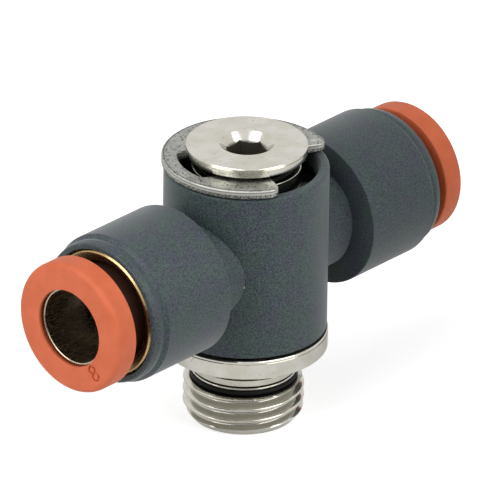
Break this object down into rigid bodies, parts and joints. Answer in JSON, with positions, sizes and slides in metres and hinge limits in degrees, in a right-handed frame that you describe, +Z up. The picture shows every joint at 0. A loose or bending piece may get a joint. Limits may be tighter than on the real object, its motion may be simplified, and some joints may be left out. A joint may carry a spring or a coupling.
{
  "type": "swivel banjo flow control valve",
  "caption": "Swivel banjo flow control valve: threaded metal stem with a hex socket and a metering needle inside, and a turning moulded body with in-line push-in tube ports.",
  "frame": {"origin": "centre of the stem's threaded end face, on the stem's axis", "axes": "+Z up the stem toward the hex socket, +X along the right-hand port, +Y to the back"},
  "size_m": [0.055, 0.0183, 0.0324],
  "materials": {
    "nickel_plated_brass": "satin nickel plating on turned brass",
    "spring_steel": "stamped, plated spring steel",
    "stainless_steel": "turned stainless steel",
    "brass": "bright turned brass",
    "moulded_polymer": "dark blue-grey moulded polymer, fine satin",
    "orange_polymer": "orange moulded polymer, satin",
    "white_acetal": "plain moulded acetal",
    "nitrile_rubber": "black moulded rubber"
  },
  "bodies": {
    "stem": {"stem": "nickel_plated_brass", "thread_seal": "nitrile_rubber", "lower_stem_seal": "nitrile_rubber", "upper_stem_seal": "nitrile_rubber", "check_seal": "nitrile_rubber", "retaining_clip": "spring_steel", "metering_seat": "brass", "needle_bush": "brass"},
    "swivel_body": {"banjo_body": "moulded_polymer", "left_tube_seal": "nitrile_rubber", "left_support_ring": "white_acetal", "left_cartridge_bush": "brass", "right_tube_seal": "nitrile_rubber", "right_support_ring": "white_acetal", "right_cartridge_bush": "brass"},
    "left_collet": {"left_release_ring": "orange_polymer", "left_grip_sleeve": "stainless_steel"},
    "right_collet": {"right_release_ring": "orange_polymer", "right_grip_sleeve": "stainless_steel"},
    "needle_carrier": {"needle_seal": "nitrile_rubber"},
    "needle": {"flow_needle": "brass"}
  },
  "joints": [
    {"name": "body_swivel", "type": "hinge", "parent": "stem", "child": "swivel_body", "pos_m": [0, 0, 0.0202], "axis": [0, 0, 1], "continuous": true},
    {"name": "left_collet_press", "type": "slide", "parent": "swivel_body", "child": "left_collet", "axis": [1, 0, 0], "range_m": [0, 0.0015]},
    {"name": "right_collet_press", "type": "slide", "parent": "swivel_body", "child": "right_collet", "axis": [-1, 0, 0], "range_m": [-0.00075, 0.00075]},
    {"name": "needle_travel", "type": "slide", "parent": "stem", "child": "needle_carrier", "axis": [0, 0, 1], "range_m": [-0.002, 0.0005]},
    {"name": "needle_turn", "type": "hinge", "parent": "needle_carrier", "child": "needle", "pos_m": [0, 0, 0.0243], "axis": [0, 0, 1], "range_deg": [-1500, 400]}
  ],
  "couplings": [
    {"joint": "needle_turn", "follows": "needle_travel", "rad_per_m": 12566}
  ]
}
